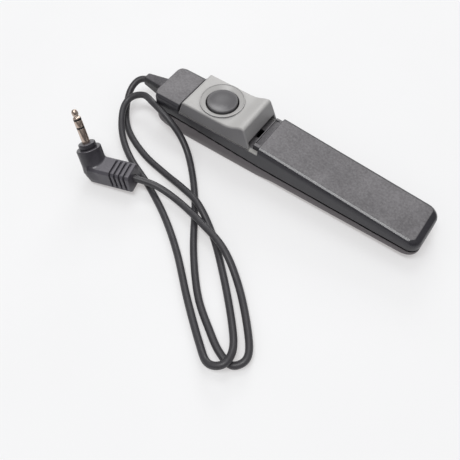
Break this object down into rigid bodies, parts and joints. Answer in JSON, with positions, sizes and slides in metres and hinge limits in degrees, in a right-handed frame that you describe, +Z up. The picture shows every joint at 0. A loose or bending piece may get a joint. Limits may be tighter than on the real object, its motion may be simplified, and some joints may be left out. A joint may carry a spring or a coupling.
{
  "type": "wired shutter release",
  "caption": "Slim handheld wand with a dished button on a locking slider, on a thin cord that ends in a right-angle jack plug.",
  "frame": {"origin": "centre of the wand's box, on the surface that its belly rests on", "axes": "+X along the wand from the cord end to the tail, +Z up, +Y across"},
  "size_m": [0.108, 0.0762, 0.0215],
  "materials": {
    "case_plastic": "fine grain, satin",
    "runner_plastic": "smooth, pale",
    "slider_plastic": "satin",
    "button_plastic": "satin",
    "spring_steel": "drawn wire",
    "plate_steel": "stamped",
    "screw_steel": "turned",
    "block_resin": "moulded resin",
    "contact_brass": "sprung strip",
    "wire_red": "insulated wire",
    "wire_white": "insulated wire",
    "wire_black": "insulated wire",
    "boot_rubber": "matt rubber",
    "cord_jacket": "smooth jacket",
    "plug_moulding": "satin moulding",
    "pin_nickel": "bright nickel",
    "insulator_black": "gloss"
  },
  "bodies": {
    "root": {"lower_case": "case_plastic", "upper_case": "case_plastic", "slide_runner": "runner_plastic", "detent_spring": "spring_steel", "contact_block": "block_resin", "contact_tags": "contact_brass", "release_contact": "contact_brass", "block_screws": "screw_steel", "wire_common": "wire_red", "wire_half_press": "wire_white", "wire_release": "wire_black", "cord_clamp": "plate_steel", "clamp_screws": "screw_steel", "case_screws": "screw_steel", "strain_relief_boot": "boot_rubber", "cord": "cord_jacket", "plug_housing": "plug_moulding", "plug_collar": "plug_moulding", "plug_sleeve": "pin_nickel", "plug_ring": "pin_nickel", "plug_tip": "pin_nickel", "plug_insulators": "insulator_black"},
    "slider": {"lock_slider": "slider_plastic", "retainer_plate": "plate_steel", "retainer_screws": "screw_steel", "button_return_spring": "spring_steel"},
    "button": {"release_button": "button_plastic", "stem_clip": "spring_steel"},
    "common_contact": {"common_blade": "contact_brass"},
    "half_press_contact": {"half_press_blade": "contact_brass"}
  },
  "joints": [
    {"name": "lock_slide", "type": "slide", "parent": "root", "child": "slider", "axis": [1, 0, 0], "range_m": [0, 0.0028]},
    {"name": "button_press", "type": "slide", "parent": "slider", "child": "button", "axis": [0, 0, -1], "range_m": [0, 0.0015], "stiffness_N_per_m": 600, "springref_m": -0.0007, "deforming": ["button_return_spring"]},
    {"name": "common_flex", "type": "hinge", "parent": "root", "child": "common_contact", "pos_m": [-0.0362, 0, 0.00632], "axis": [0, 1, 0], "range_deg": [0, 8.1]},
    {"name": "half_press_flex", "type": "hinge", "parent": "root", "child": "half_press_contact", "pos_m": [-0.0362, -0.00155, 0.00517], "axis": [0, 1, 0], "range_deg": [0, 4.9]}
  ],
  "couplings": [
    {"joint": "common_flex", "follows": "button_press", "rad_per_m": 93},
    {"joint": "half_press_flex", "follows": "button_press", "rad_per_m": 55}
  ]
}
